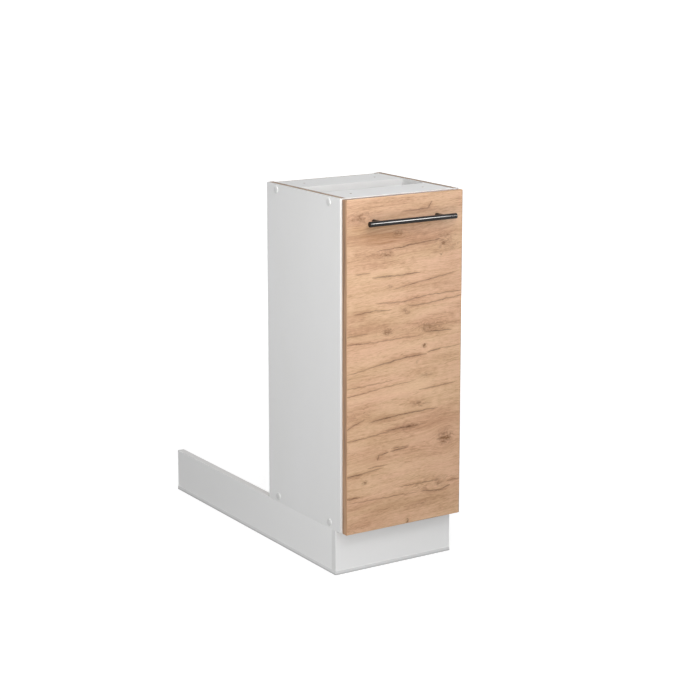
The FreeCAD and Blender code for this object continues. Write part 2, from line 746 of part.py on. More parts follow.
def clip(name, x, y, z, toward_front):
    """A spring ring on the leg with a pad that is screwed to the back of the plinth board."""
    ring = rod(name + "_ring", "z", x, y, z, "socket_radius + clip_wall", "clip_high")
    if toward_front:
        reach = f"{y} - plinth_setback - plinth_thick"
        pad = block(name + "_pad", f"{x} - clip_pad / 2", "plinth_setback + plinth_thick", z,
                    "clip_pad", reach, "clip_high")
        mouth = block(name + "_mouth", f"{x} - clip_mouth / 2", y, z,
                      "clip_mouth", "2 * socket_radius", "clip_high")
    else:
        reach = f"{x} + width / 2 - plinth_thick"
        pad = block(name + "_pad", "-width / 2 + plinth_thick", f"{y} - clip_pad / 2", z,
                    reach, "clip_pad", "clip_high")
        mouth = block(name + "_mouth", x, f"{y} - clip_mouth / 2", z,
                      "2 * socket_radius", "clip_mouth", "clip_high")
    hole = rod(name + "_hole", "z", x, y, z, "socket_radius + fit_gap", "clip_high")
    return cut(name, joined(name + "_whole", [ring, pad]), [hole, mouth])


def clips():
    front = []
    side = []
    for tag, x, y in leg_places():
        if tag.startswith("front"):
            front.append(clip(tag + "_clip", x, y, CLIP_Z, True))
        if tag.endswith("left"):
            side.append(clip(tag + "_side_clip", x, y, f"{CLIP_Z} + clip_step", False))
    node("front_plinth_clips", gathered("front_plinth_clips", front))
    node("side_plinth_clips", gathered("side_plinth_clips", side))


def build():
    fill_sheet()
    for side in SIDES:
        side_panel(side)
        carcass_fixings(side)
    rails()
    bottom_panel()
    back_panel()
    shelf()
    dowels()
    door()
    handle()
    bumpers()
    hinges()
    legs()
    plinth()
    doc.recompute()


def check():
    for obj in doc.Objects:
        if "Invalid" in obj.State or "Error" in obj.State:
            raise RuntimeError("failed: " + obj.Name)
    for label, obj in nodes.items():
        if obj.Shape.isNull() or not obj.Shape.isValid():
            raise RuntimeError("bad shape: " + label)


def export():
    os.makedirs("parts", exist_ok=True)
    for label, obj in nodes.items():
        obj.Shape.exportStep(os.path.join("parts", label + ".step"))


build()
check()
export()
print(len(nodes), "sub-parts")
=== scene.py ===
import math

import bpy
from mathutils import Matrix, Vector


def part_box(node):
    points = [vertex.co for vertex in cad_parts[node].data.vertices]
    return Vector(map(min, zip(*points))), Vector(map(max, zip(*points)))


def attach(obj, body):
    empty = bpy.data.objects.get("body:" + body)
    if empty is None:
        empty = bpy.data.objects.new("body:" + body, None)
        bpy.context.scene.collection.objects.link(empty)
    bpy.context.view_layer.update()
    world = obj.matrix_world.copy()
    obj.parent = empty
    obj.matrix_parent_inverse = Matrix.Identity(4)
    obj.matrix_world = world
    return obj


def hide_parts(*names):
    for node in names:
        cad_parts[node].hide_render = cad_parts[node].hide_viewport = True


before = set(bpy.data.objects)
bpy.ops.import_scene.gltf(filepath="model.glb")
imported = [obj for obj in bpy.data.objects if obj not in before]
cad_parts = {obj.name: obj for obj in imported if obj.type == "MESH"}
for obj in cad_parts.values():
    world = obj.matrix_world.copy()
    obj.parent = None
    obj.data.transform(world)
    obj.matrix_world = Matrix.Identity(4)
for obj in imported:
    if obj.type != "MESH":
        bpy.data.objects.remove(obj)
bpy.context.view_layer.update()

MM = 0.001
WHITE = (1, 1, 1, 1)

# Camera at the photograph's angle, in metres and degrees
CAMERA_PLACE = (-2.1419, -3.4883, 1.3705)
CAMERA_AZIMUTH = -32.698
CAMERA_ELEVATION = 10.969
CAMERA_LENS = 93.93
CAMERA_SENSOR = 36
CAMERA_SHIFT_Y = -0.1

# Curve from a colour's usual code to its linear value
SRGB_FULL = 255
SRGB_KNEE = 0.04045
SRGB_SLOPE = 12.92
SRGB_OFFSET = 0.055
SRGB_POWER = 2.4

# Nodes: the colour sockets of a mix node, where a ramp's new stop starts, and the shader's gloss socket
MIX_INPUTS = (0, 6, 7)
MIX_OUTPUT = 2
NEW_STOP = 0.5
GLOSS = "Specular IOR Level"

# Noise: its middle, the values between which most of it lies, and its usual detail
NOISE_MIDDLE = 0.5
NOISE_LOW = 0.3
NOISE_HIGH = 0.7
NOISE_DETAIL = 3.0
NOISE_ROUGHNESS = 0.55

# How much of a face's normal lies along an axis, at least, when the face counts as facing that way
FACING = 0.7
BACK_FACING = 0.5
FLAT_FACING = 0.95

# White boards: colours and roughness over the noise's range, noise in waves per metre, relief in metres
FILM_COLOURS = ("EBEBEA", "EEEEEE")
FILM_ROUGHNESS = (0.56, 0.68)
FILM_GLOSS = 0.12
FILM_RELIEF = 0.00003
FILM_GRAIN = 1300
FILM_CLOUD = (9, 9, 5)
FILM_GRAIN_SHARE = 0.3
# Plinth film, paler than the boards' film: painted light that lifts the shade under the door
PLINTH_COLOURS = ("F0F0EF", "F3F3F3")
# Painted shade on the plinth boards' edges
PLINTH_EDGE_SHADE_COLOURS = ("E1E1E0", "E7E7E6")
CHIP_STOPS = [(0.15, "8A7566"), (0.45, "AE9886"), (0.8, "C8B5A4")]
CHIP_FLAKES = (330, 330, 520)
CHIP_DUST = 1400
CHIP_FLAKE_SHARE = 0.6
CHIP_ROUGHNESS = 0.9
BOARD_RELIEF = 0.00012
BOARD_PEARL = 0.12
SIDE_BOARD_MIDDLE = 0.141
SIDE_BOARD_HALF_CORE = 0.006
FIBRE_STOPS = [(0.3, "6F4F35"), (0.5, "8D6848"), (0.7, "A5805C")]
FIBRE_GRAIN = 420
FIBRE_BLOTCH = 14
FIBRE_SHARE = 0.6
FIBRE_ROUGHNESS = 0.8
FIBRE_RELIEF = 0.0002
FIBRE_PEARL = 0.15

# Metal, plastic, seal, dowels and bumpers, in the same units
BRUSH_SHARE = 0.6
BRUSH_CLOUD = 30
BRUSH_RELIEF = 0.00002
BRUSH_SMOOTHER = 0.05
BRUSH_ROUGHER = 0.07
PLASTIC_SWING = 0.06
MOULD_SHARE = 0.5
MOULD_CLOUD = 40
MOULD_RELIEF = 0.00008
MOULD_SWING = 0.08
SEAL_COLOURS = ("DADADA", "E2E2E2")
# Painted contact shadow along the floor: its colour, then the height below which it is full
SEAL_FOOT_SHADOW_COLOUR = "BABABA"
SEAL_FOOT = 0.002
SEAL_GRAIN = 600
SEAL_ROUGHNESS = (0.5, 0.62)
SEAL_RELIEF = 0.00005
BEECH_STOPS = [(0.3, "B98A62"), (0.55, "D6AB80"), (0.75, "E2BF98")]
BEECH_GRAIN = (60, 900, 900)
BEECH_ROUGHNESS = (0.5, 0.65)
BEECH_RELIEF = 0.0001
BUMPER_COLOURS = ("E4E8EA", "F4F7F8")
BUMPER_HAZE = 500
BUMPER_ROUGHNESS = (0.15, 0.3)
BUMPER_RELIEF = 0.00005
BUMPER_CLEAR = 0.35
BUMPER_IOR = 1.45

# Oak decor: colours of the grain by tone, of its marks, and of the door's edges from dark to light; the top
# and bottom edges' flat is darkened by painted shade and their arris made paler by a painted highlight
OAK_STOPS = [(0.36, "AF8A6C"), (0.45, "C8A080"), (0.52, "D7B192"), (0.62, "E2BE9E")]
OAK_TINT_STOPS = [(0.4, "FFFAF8"), (0.6, "FDFDF6")]
OAK_SHADE = "C8B49E"
OAK_LINE = "A17853"
OAK_CRACK = "583923"
OAK_KNOT = "805837"
OAK_EDGE_STOPS = [(0.38, "7A5B42"), (0.5, "A47D5C"), (0.62, "B48B68")]
OAK_TOP_SHADE_STOPS = [(0.38, "644A36"), (0.5, "856349"), (0.62, "987355")]
OAK_ARRIS_HIGHLIGHT_STOPS = [(0.38, "BB9370"), (0.5, "D4AB87"), (0.62, "E5BD99")]
OAK_GLOSS = 0.35
EDGE_GLOSS = 0.45
LEVEL_EDGE_GLOSS = 0.1
OAK_RELIEF = 0.00012
EDGE_RELIEF = 0.0001

# Oak decor: how fine each layer is across, through and up the door, in waves per metre
ACROSS = (1, 0, 1)
BROAD_GRAIN = (7, 1, 30)
STREAK_GRAIN = (6, 1, 200)
FINE_GRAIN = (70, 1, 480)
FLECK_GRAIN = (75, 1, 190)
PORE_GRAIN = (60, 1, 1000)
TINT_GRAIN = (4, 1, 24)
RING_GRAIN = (3, 1, 34)
CURL_GRAIN = (22, 1, 70)
RELIEF_GRAIN = (14, 1, 480)
SWAY_GRAIN = (6, 1, 12)
RISE_GRAIN = (34, 1, 62)
SLIP_GRAIN = (47, 1, 41)
KNOT_TREMBLE = (170, 1, 210)
CRACK_TREMBLE = (60, 1, 60)
LEVEL_STREAK = (6, 240, 240)
LEVEL_FINE = (30, 900, 900)
UPRIGHT_STREAK = (240, 240, 6)
UPRIGHT_FINE = (900, 900, 30)

# Oak decor: each layer's share of the tone, how dark the marks are, and half widths of veins in the noise
BROAD_SHARE = 0.28
STREAK_SHARE = 0.3
FINE_SHARE = 0.42
EDGE_STREAK_SHARE = 0.75
PALE_SHIFT = 0.09
RING_HALF = 0.016
CURL_HALF = 0.035
BURL_BOLD = 0.5
BURL_DARK = 0.75
CLOUD_DARK = 0.7
KNOT_DARK = 1.1
PORE_DARK = 0.2
HALO_DARK = 0.4
CRACK_DARK = 0.9

# Oak decor: how the grain leans, sways and gives way, and how ragged marks are, in metres or shares
OAK_LEAN = 0.05
OAK_SWAY = 0.016
KNOT_REACH = 2.2
KNOT_PUSH = 1.1
KNOT_RAGGED = 0.012
BURL_RISE = 0.036
BURL_SLIP = 0.05
CRACK_GROW = 1.15
CRACK_BELLY = 3.6
CRACK_END = 0.1
CRACK_HALO = 4.5
CRACK_TAIL = 0.2
CRACK_RAGGED = 0.006

# Oak decor: a layer's low and high value, and the strength of a mark, or the roughness, at each
LINE_FADE = (0.4, 0.6, 1.0, 0.1)
BOLD_FADE = (0.4, 0.6, 0.7, 0.15)
CURL_FADE = (0.4, 0.6, 1.0, 0.3)
CLOUD_FADE = (0.35, 0.65, 2.0, 0.7)
KNOT_FADE = (0.38, 0.6, 2.0, 0.3)
PORE_FADE = (0.6, 0.72, 0.0, 1.0)
CRACK_FADE = (0.35, 0.62, 1.0, 0.45)
OAK_ROUGHNESS = (0.3, 0.65, 0.62, 0.46)
EDGE_ROUGHNESS = (0.35, 0.65, 0.5, 0.36)

# Cracks of the decor on the door, in millimetres: from (x, z) to (x, z), and the half width
CRACKS = [
    ((-64, 706), (-20, 708), 1.1),
    ((-20, 708), (37, 714), 2.2),
    ((37, 714), (82, 717), 2.2),
    ((-74, 650), (-26, 649), 2.4),
    ((-26, 649), (29, 650), 1.8),
    ((-122, 660), (-93, 661), 1.2),
    ((-20, 621), (38, 630), 1.2),
    ((38, 630), (116, 640), 1.3),
    ((-122, 576), (-81, 579), 1.5),
    ((-81, 579), (-43, 577), 1.2),
    ((-64, 594), (-5, 591), 1.1),
    ((-5, 591), (56, 599), 1.4),
    ((56, 599), (143, 600), 1.2),
    ((13, 580), (56, 581), 1.3),
    ((56, 581), (143, 589), 1.3),
    ((-4, 785), (32, 785), 1.2),
    ((32, 785), (58, 787), 1.7),
    ((58, 787), (66, 799), 2.0),
    ((61, 519), (113, 517), 2.2),
    ((-143, 530), (-101, 532), 1.2),
    ((-143, 513), (-80, 512), 1.2),
    ((-80, 512), (22, 513), 0.7),
    ((-139, 450), (-74, 459), 0.8),
    ((-74, 459), (-8, 468), 2.8),
    ((-8, 468), (48, 471), 2.1),
    ((65, 475), (92, 478), 1.7),
    ((92, 478), (145, 480), 0.7),
    ((-143, 418), (-42, 423), 0.7),
    ((-143, 402), (-99, 405), 1.1),
    ((-99, 405), (-63, 410), 0.9),
    ((-63, 410), (14, 415), 0.6),
    ((51, 394), (124, 398), 1.2),
    ((-80, 340), (-16, 345), 2.3),
    ((-16, 345), (71, 347), 2.1),
    ((-147, 330), (-126, 340), 1.4),
    ((-126, 340), (-105, 346), 1.2),
    ((-37, 315), (23, 316), 2.7),
    ((-143, 304), (-101, 306), 1.2),
    ((-101, 306), (-37, 313), 1.0),
    ((-69, 254), (-65, 264), 2.0),
    ((-65, 264), (-45, 266), 1.7),
    ((-30, 268), (4, 270), 2.0),
    ((-28, 273), (6, 273), 1.3),
    ((-147, 226), (-109, 229), 2.5),
    ((-109, 229), (-62, 234), 1.3),
    ((-88, 239), (-50, 240), 1.0),
    ((2, 185), (77, 184), 1.3),
    ((118, 178), (145, 178), 1.2),
    ((51, 165), (95, 160), 2.2),
    ((95, 160), (118, 167), 2.1),
    ((-145, 178), (-118, 179), 2.0),
    ((-117, 168), (16, 166), 0.7),
]

# Knots, in millimetres: centre (x, z), half size (x, z) and darkness
KNOTS = [
    ((-18, 739), (9, 4), 0.9),
    ((107, 711), (24, 20), 0.25),
    ((98, 708), (7, 5), 0.35),
    ((94, 685), (4, 3), 0.4),
    ((-112, 779), (22, 11), 0.45),
    ((-47, 697), (16, 6), 0.45),
    ((-39, 627), (6, 4), 0.35),
    ((2, 571), (9, 6), 0.3),
    ((-45, 531), (11, 5), 0.8),
    ((66, 531), (20, 7), 0.3),
    ((51, 489), (5, 4), 0.85),
    ((33, 455), (5, 3), 0.3),
    ((57, 425), (14, 5), 0.35),
    ((40, 363), (18, 6), 0.4),
    ((16, 316), (12, 4), 0.9),
    ((107, 276), (16, 13), 0.7),
    ((-103, 208), (8, 4), 0.45),
    ((91, 181), (14, 8), 0.4),
    ((45, 138), (24, 6), 0.25),
    ((9, 104), (4, 6), 0.9),
]

# Burls, where the grain curls, in millimetres: centre (x, z), half size (x, z) and strength
BURLS = [
    ((110, 711), (34, 24), 1.0),
    ((-112, 777), (30, 14), 0.9),
    ((-47, 697), (30, 11), 0.8),
    ((-18, 739), (26, 9), 0.7),
    ((66, 529), (52, 15), 1.0),
    ((-48, 531), (30, 11), 0.9),
    ((2, 571), (15, 9), 0.9),
    ((40, 363), (30, 8), 0.6),
    ((-114, 358), (40, 16), 0.7),
    ((5, 316), (40, 9), 0.7),
    ((107, 276), (26, 20), 1.0),
    ((75, 180), (62, 15), 1.0),
    ((-125, 110), (26, 10), 0.7),
]

# Soft dark clouds in the decor, two of them also a painted shadow under the handle's bar, in millimetres:
# centre (x, z), half size (x, z) and darkness
CLOUDS_AND_BAR_SHADOW = [
    ((0, 795), (170, 18), 0.3),
    ((-60, 770), (110, 16), 0.45),
    # Under the handle's bar: a cloud of the decor darkened further by a painted shadow of the bar
    ((-80, 736), (85, 18), 0.95),
    ((-50, 733), (45, 12), 0.5),
    ((45, 722), (110, 20), 0.4),
    ((63, 702), (34, 18), 0.4),
    ((-70, 690), (70, 16), 0.3),
    ((90, 620), (90, 10), 0.25),
    ((-118, 572), (32, 14), 0.45),
    ((-80, 545), (60, 20), 0.3),
    ((0, 527), (150, 20), 0.25),
    ((110, 334), (50, 12), 0.15),
    ((-110, 358), (54, 18), 0.5),
    ((-20, 281), (80, 14), 0.2),
    ((60, 318), (120, 18), 0.35),
    ((75, 303), (46, 14), 0.3),
    ((-70, 252), (64, 12), 0.35),
    ((110, 262), (50, 18), 0.2),
    ((-70, 150), (110, 20), 0.25),
    ((-85, 112), (74, 14), 0.3),
    ((60, 142), (110, 16), 0.25),
]

# Soft pale stretches in the decor, in millimetres: centre (x, z), half size (x, z) and strength
PALES = [
    ((-51, 653), (60, 14), 0.5),
    ((-51, 572), (24, 12), 0.7),
    ((60, 488), (90, 16), 1.0),
    ((92, 443), (40, 10), 0.4),
    ((0, 397), (150, 15), 0.9),
    ((-130, 284), (34, 12), 0.9),
    ((34, 222), (70, 18), 0.8),
    ((77, 167), (50, 12), 0.6),
    ((60, 97), (100, 10), 0.4),
]

# Round pieces: directions, then sizes in metres, and their profiles as (radius, way) in millimetres
RIGHT = (1, 0, 0)
LEFT = (-1, 0, 0)
FRONT = (0, -1, 0)
UP = (0, 0, 1)
DOWN = (0, 0, -1)
LATHE_STEPS = 96
SHARP_ANGLE = math.radians(40)
DOME_STEPS = 10
ROUND_STEPS = 8
BAR_ROUND = 0.0012
CAP_RADIUS = 0.008
CAP_RIM = 0.001
CAP_SHOULDER = 0.003
BUMPER_RIM = 0.4
LEGS = ("front_left", "front_right", "rear_left", "rear_right")
SOCKET_PROFILE = [
    (15.0, 0.0), (29.4, 0.0), (30.0, 0.8), (30.0, 4.2), (29.4, 5.0), (21.0, 5.0), (20.0, 6.0),
    (20.0, 9.0), (20.0, 10.0), (20.0, 57.0), (20.0, 58.0), (20.0, 61.2), (19.2, 62.0), (15.0, 62.0),
]
RIB_START = 0.0095
RIB_END = 0.0575
RIB_INSIDE = 0.019
RIB_DEEP = 0.0016
RIB_COUNT = 16
FOOT_THICK = 0.01
PAD_PROFILE = [(22.6, 0.0), (24.0, 1.2), (24.0, 6.6), (23.0, 7.8), (17.0, 9.4)]
KNURL_DEEP = 0.0011
KNURL_COUNT = 24
THREAD_RADIUS = 0.0147
THREAD_DEEP = 0.0014
THREAD_PITCH = 0.004
THREAD_STEP = 0.0005
THREAD_END = 0.06

# Studio: sizes and places in metres, lamp strengths in watts
FLOOR_SIZE = 80
FLOOR_BOUNCE = "7C7C7C"
FLOOR_SEEN = "A8A8A8"
FLOOR_GLOW = 0.78
FLOOR_FAR_GLOW = 1.0
FLOOR_NEAR = 0.9
FLOOR_FAR = 2.6
SKY_LOW = 0.84
SKY_HIGH = 0.41
SKY_FADE = 0.6
# Each lamp: name, place, point it faces, width and height, spread in degrees, strength, and if it gives
# gloss alone
LAMPS = [
    ("key", (-1.36, -1.96, 1.0), (0, -0.35, 0.5), (0.8, 0.8), 180, 6.0, False),
    ("low_key", (-1.36, -1.96, 0.25), (0, -0.35, 0.3), (0.8, 0.4), 180, 15.0, False),
    ("high_key", (-0.55, -1.45, 1.45), (-0.05, -0.25, 0.84), (0.7, 0.7), 70, 2.1, False),
    ("left_fill", (-1.6, 0.7, 0.5), (-0.15, 0.15, 0.1), (0.8, 0.8), 180, 1.3, False),
    ("back_fill", (2.0, 1.6, 1.0), (0, 0, 0.5), (1.6, 1.6), 180, 20, False),
    ("bar_glint", (1.04, -1.93, 1.45), (0, -0.4, 0.77), (0.7, 0.5), 180, 60, True),
]


def linear(part):
    if part <= SRGB_KNEE:
        return part / SRGB_SLOPE
    return ((part + SRGB_OFFSET) / (1 + SRGB_OFFSET)) ** SRGB_POWER


def colour(code):
    """A linear colour from its usual six-figure code."""
    parts = [int(code[start:start + 2], 16) / SRGB_FULL for start in (0, 2, 4)]
    return (*[linear(part) for part in parts], 1)


def grey(level):
    return (level, level, level, 1)


def even(scale):
    """The same scale along all three axes."""
    return (scale, scale, scale)


class Graph:
    """A node tree, built one node at a time."""

    def __init__(self, tree):
        self.tree = tree
        self.tree.nodes.clear()

    def node(self, kind, feeds=None, **settings):
        made = self.tree.nodes.new(kind)
        for key, setting in settings.items():
            setattr(made, key, setting)
        for key, source in (feeds or {}).items():
            self.feed(made.inputs[key], source)
        return made

    def feed(self, socket, source):
        if isinstance(source, bpy.types.NodeSocket):
            self.tree.links.new(source, socket)
        else:
            socket.default_value = source

    def math(self, operation, *sources, clamp=False):
        made = self.node("ShaderNodeMath", operation=operation, use_clamp=clamp)
        for socket, source in zip(made.inputs, sources):
            self.feed(socket, source)
        return made.outputs[0]

    def vector(self, operation, *sources):
        made = self.node("ShaderNodeVectorMath", operation=operation)
        for socket, source in zip(made.inputs, sources):
            self.feed(socket, source)
        return made.outputs["Value" if operation in ("DOT_PRODUCT", "LENGTH") else "Vector"]

    def scaled(self, vector, factor):
        made = self.node("ShaderNodeVectorMath", {"Vector": vector, "Scale": factor}, operation="SCALE")
        return made.outputs["Vector"]

    def places(self):
        return self.node("ShaderNodeTexCoord").outputs

    def part(self, vector, axis):
        return self.node("ShaderNodeSeparateXYZ", {"Vector": vector}).outputs[axis]

    def noise(self, vector, scale, detail=NOISE_DETAIL, roughness=NOISE_ROUGHNESS):
        stretched = self.vector("MULTIPLY", vector, scale)
        feeds = {"Vector": stretched, "Scale": 1.0, "Detail": detail, "Roughness": roughness}
        return self.node("ShaderNodeTexNoise", feeds).outputs["Fac"]

    def spread(self, source, low, high, to_low=0.0, to_high=1.0, smooth=False):
        made = self.node("ShaderNodeMapRange", interpolation_type="SMOOTHSTEP" if smooth else "LINEAR")
        for socket, entry in zip(made.inputs, (source, low, high, to_low, to_high)):
            self.feed(socket, entry)
        return made.outputs[0]

    def over_noise(self, source, limits):
        """A number that runs from one limit to the other over the noise's range."""
        return self.spread(source, NOISE_LOW, NOISE_HIGH, *limits)

    def blend(self, first, share, second):
        """A share of the first number, and the rest of the second."""
        return self.math("MULTIPLY_ADD", first, share, self.math("MULTIPLY", second, 1 - share))

    def tremble(self, source, reach):
        """A noise turned into a shift of up to half the reach to either side."""
        return self.math("MULTIPLY_ADD", source, reach, -reach / 2)

    def veins(self, source, half):
        """1 on the lines where a noise passes its middle, falling to 0 beside them."""
        off = self.math("ABSOLUTE", self.math("SUBTRACT", source, NOISE_MIDDLE))
        return self.spread(off, half, 0.0)

    def ramp(self, source, stops):
        made = self.node("ShaderNodeValToRGB", {"Fac": source})
        elements = made.color_ramp.elements
        while len(elements) < len(stops):
            elements.new(NEW_STOP)
        for element, (place, code) in zip(elements, stops):
            element.position = place
            element.color = colour(code)
        return made.outputs["Color"]

    def two_tone(self, source, codes):
        return self.ramp(source, list(zip((NOISE_LOW, NOISE_HIGH), codes)))

    def mix(self, factor, first, second, blend="MIX"):
        made = self.node("ShaderNodeMix", data_type="RGBA", blend_type=blend)
        for index, source in zip(MIX_INPUTS, (factor, first, second)):
            self.feed(made.inputs[index], source)
        return made.outputs[MIX_OUTPUT]


def material(name):
    made = bpy.data.materials.new(name)
    made.use_nodes = True
    return made, Graph(made.node_tree)


def surface(graph, base, roughness, height, relief, plain=None):
    """Ends a material: colour, roughness and bump from nodes, plain values on the shader's own sockets."""
    bump = graph.node("ShaderNodeBump", {"Height": height, "Strength": 1.0, "Distance": relief})
    feeds = {"Base Color": base, "Roughness": roughness, "Normal": bump.outputs["Normal"]}
    shader = graph.node("ShaderNodeBsdfPrincipled", {**feeds, **(plain or {})})
    output = graph.node("ShaderNodeOutputMaterial")
    graph.tree.links.new(shader.outputs["BSDF"], output.inputs["Surface"])


def group(name, inputs, outputs):
    """An empty node group with vector and number inputs; returns its graph, input node and output node."""
    tree = bpy.data.node_groups.new(name, "ShaderNodeTree")
    for label, kind in inputs:
        tree.interface.new_socket(label, in_out="INPUT", socket_type=kind)
    for label in outputs:
        tree.interface.new_socket(label, in_out="OUTPUT", socket_type="NodeSocketFloat")
    graph = Graph(tree)
    return graph, graph.node("NodeGroupInput").outputs, graph.node("NodeGroupOutput").inputs


def crack_group():
    """How far a place is from a crack, in shares of its half width, which is thin at the crack's ends."""
    vector = "NodeSocketVector"
    inputs = [("Place", vector), ("Start", vector), ("End", vector), ("Width", "NodeSocketFloat")]
    graph, given, result = group("crack", inputs, ["Share"])
    way = graph.vector("SUBTRACT", given["End"], given["Start"])
    offset = graph.vector("SUBTRACT", given["Place"], given["Start"])
    passed = graph.vector("DOT_PRODUCT", offset, way)
    along = graph.math("DIVIDE", passed, graph.vector("DOT_PRODUCT", way, way))
    along = graph.math("MINIMUM", graph.math("MAXIMUM", along, 0.0), 1.0)
    gap = graph.vector("LENGTH", graph.vector("SUBTRACT", offset, graph.scaled(way, along)))
    belly = graph.math("MULTIPLY", along, graph.math("SUBTRACT", 1.0, along))
    taper = graph.math("MULTIPLY_ADD", belly, CRACK_BELLY, CRACK_END)
    reach = graph.math("MULTIPLY", given["Width"], taper)
    graph.feed(result["Share"], graph.math("DIVIDE", gap, reach))
    return graph.tree


def spot_group():
    """A soft spot: how strong it is at a place, and how far it pushes the grain aside there."""
    vector = "NodeSocketVector"
    inputs = [("Place", vector), ("Centre", vector), ("Reach", vector)]
    graph, given, result = group("spot", inputs, ["Mask", "Push"])
    offset = graph.vector("SUBTRACT", given["Place"], given["Centre"])
    share = graph.vector("DIVIDE", offset, given["Reach"])
    fall = graph.math("MULTIPLY", graph.vector("DOT_PRODUCT", share, share), -1.0)
    mask = graph.math("EXPONENT", fall)
    graph.feed(result["Mask"], mask)
    graph.feed(result["Push"], graph.math("MULTIPLY", graph.part(offset, "Z"), mask))
    return graph.tree


def on_door(point):
    return (point[0] * MM, 0.0, point[1] * MM)


def half_size(reach):
    return (reach[0] * MM, 1.0, reach[1] * MM)


def use_group(graph, tree, feeds):
    made = graph.node("ShaderNodeGroup", node_tree=tree)
    for key, source in feeds.items():
        graph.feed(made.inputs[key], source)
    return made.outputs


def spots(graph, place, tree, entries, output="Mask", grow=1.0):
    """The sum of several soft spots, each times its own strength."""
    total = 0.0
    for centre, reach, strength in entries:
        wide = (reach[0] * grow, reach[1] * grow)
        made = use_group(graph, tree, {"Place": place, "Centre": on_door(centre), "Reach": half_size(wide)})
        total = graph.math("MULTIPLY_ADD", made[output], strength, total)
    return total


def with_tails(start, end):
    """A crack's ends, each moved outward by the crack's thin tail."""
    tail = [CRACK_TAIL * (last - first) for first, last in zip(start, end)]
    before = [first - more for first, more in zip(start, tail)]
    after = [last + more for last, more in zip(end, tail)]
    return on_door(before), on_door(after)


def cracks(graph, place, tree):
    """How much of the nearest crack is at a place, and how much of its soft dark border."""
    nearest = CRACK_HALO
    for start, end, width in CRACKS:
        before, after = with_tails(start, end)
        wide = width * CRACK_GROW * MM
        made = use_group(graph, tree, {"Place": place, "Start": before, "End": after, "Width": wide})
        nearest = graph.math("MINIMUM", made["Share"], nearest)
    split = graph.spread(nearest, 1.0, 0.0, smooth=True)
    return split, graph.spread(nearest, CRACK_HALO, 0.0, smooth=True)


def oak_place(graph):
    """Where a point of the door lies in the decor: across and up its face, turned round on its back."""
    source = graph.places()
    face = graph.vector("MULTIPLY", source["Object"], ACROSS)
    low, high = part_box("door_panel")
    turned = graph.vector("SUBTRACT", (low[0] + high[0], 0.0, low[2] + high[2]), face)
    back = graph.math("GREATER_THAN", graph.part(source["Normal"], "Y"), BACK_FACING)
    return graph.mix(back, face, turned)


def oak_grain(graph, place, spot_tree):
    """The grain's own place, leaning, swaying, round the knots and curled in the burls; and the burls."""
    parts = graph.node("ShaderNodeSeparateXYZ", {"Vector": place}).outputs
    sway = graph.tremble(graph.noise(place, SWAY_GRAIN, detail=2.0), OAK_SWAY)
    lean = graph.math("MULTIPLY_ADD", parts["X"], -OAK_LEAN, parts["Z"])
    push = spots(graph, place, spot_tree, KNOTS, "Push", KNOT_REACH)
    burl = graph.math("MINIMUM", spots(graph, place, spot_tree, BURLS), 1.0)
    rise = graph.tremble(graph.noise(place, RISE_GRAIN, detail=2.0), BURL_RISE)
    slip = graph.tremble(graph.noise(place, SLIP_GRAIN, detail=2.0), BURL_SLIP)
    level = graph.math("MULTIPLY_ADD", push, -KNOT_PUSH, graph.math("ADD", lean, sway))
    level = graph.math("MULTIPLY_ADD", rise, burl, level)
    along = graph.math("MULTIPLY_ADD", slip, burl, parts["X"])
    return graph.node("ShaderNodeCombineXYZ", {"X": along, "Z": level}).outputs["Vector"], burl


def ragged(graph, place, scale, reach):
    """A place that trembles by up to half the reach, so that marks drawn there get ragged outlines."""
    shake = graph.tremble(graph.noise(place, scale, detail=2.0), reach)
    shift = graph.node("ShaderNodeCombineXYZ", {"X": shake, "Z": shake}).outputs["Vector"]
    return graph.vector("ADD", place, shift)


def oak_lines(graph, wood, grain, fine, broad, burl):
    """A faint tint, and thin growth lines that are bolder in the burls."""
    tint = graph.ramp(graph.noise(grain, TINT_GRAIN, detail=2.0), OAK_TINT_STOPS)
    wood = graph.mix(1.0, wood, tint, "MULTIPLY")
    ring = graph.veins(graph.noise(grain, RING_GRAIN, detail=4.0, roughness=0.6), RING_HALF)
    line = graph.math("MULTIPLY", ring, graph.spread(fine, *LINE_FADE))
    bold = graph.math("MULTIPLY_ADD", burl, BURL_BOLD, graph.spread(broad, *BOLD_FADE))
    return graph.mix(graph.math("MULTIPLY", line, bold, clamp=True), wood, colour(OAK_LINE))


def oak_curls(graph, wood, grain, burl, fleck):
    """Dark curled veins in the burls."""
    curl = graph.veins(graph.noise(grain, CURL_GRAIN, detail=2.0), CURL_HALF)
    curl = graph.math("MULTIPLY", curl, graph.math("MULTIPLY", burl, BURL_DARK))
    broken = graph.math("MULTIPLY", curl, graph.spread(fleck, *CURL_FADE))
    return graph.mix(broken, wood, colour(OAK_KNOT))


def oak_clouds_and_bar_shadow(graph, wood, place, spot_tree, streak):
    """Soft dark clouds, streaked along the grain; under the handle's bar they also paint the bar's shadow.
    """
    cloud = spots(graph, place, spot_tree, CLOUDS_AND_BAR_SHADOW)
    cloud = graph.math("MULTIPLY", cloud, graph.spread(streak, *CLOUD_FADE))
    cloud = graph.math("MULTIPLY", cloud, CLOUD_DARK, clamp=True)
    return graph.mix(cloud, wood, colour(OAK_SHADE), "MULTIPLY")


def oak_knots(graph, wood, place, spot_tree, fleck):
    """Flecked knots with ragged outlines."""
    rough_place = ragged(graph, place, KNOT_TREMBLE, KNOT_RAGGED)
    knot = spots(graph, rough_place, spot_tree, KNOTS)
    knot = graph.math("MULTIPLY", knot, graph.spread(fleck, *KNOT_FADE))
    return graph.mix(graph.math("MULTIPLY", knot, KNOT_DARK, clamp=True), wood, colour(OAK_KNOT))


def oak_pores(graph, wood, grain):
    """Short thin pores along the grain."""
    pores = graph.spread(graph.noise(grain, PORE_GRAIN, detail=1.0), *PORE_FADE)
    return graph.mix(graph.math("MULTIPLY", pores, PORE_DARK), wood, colour(OAK_KNOT))


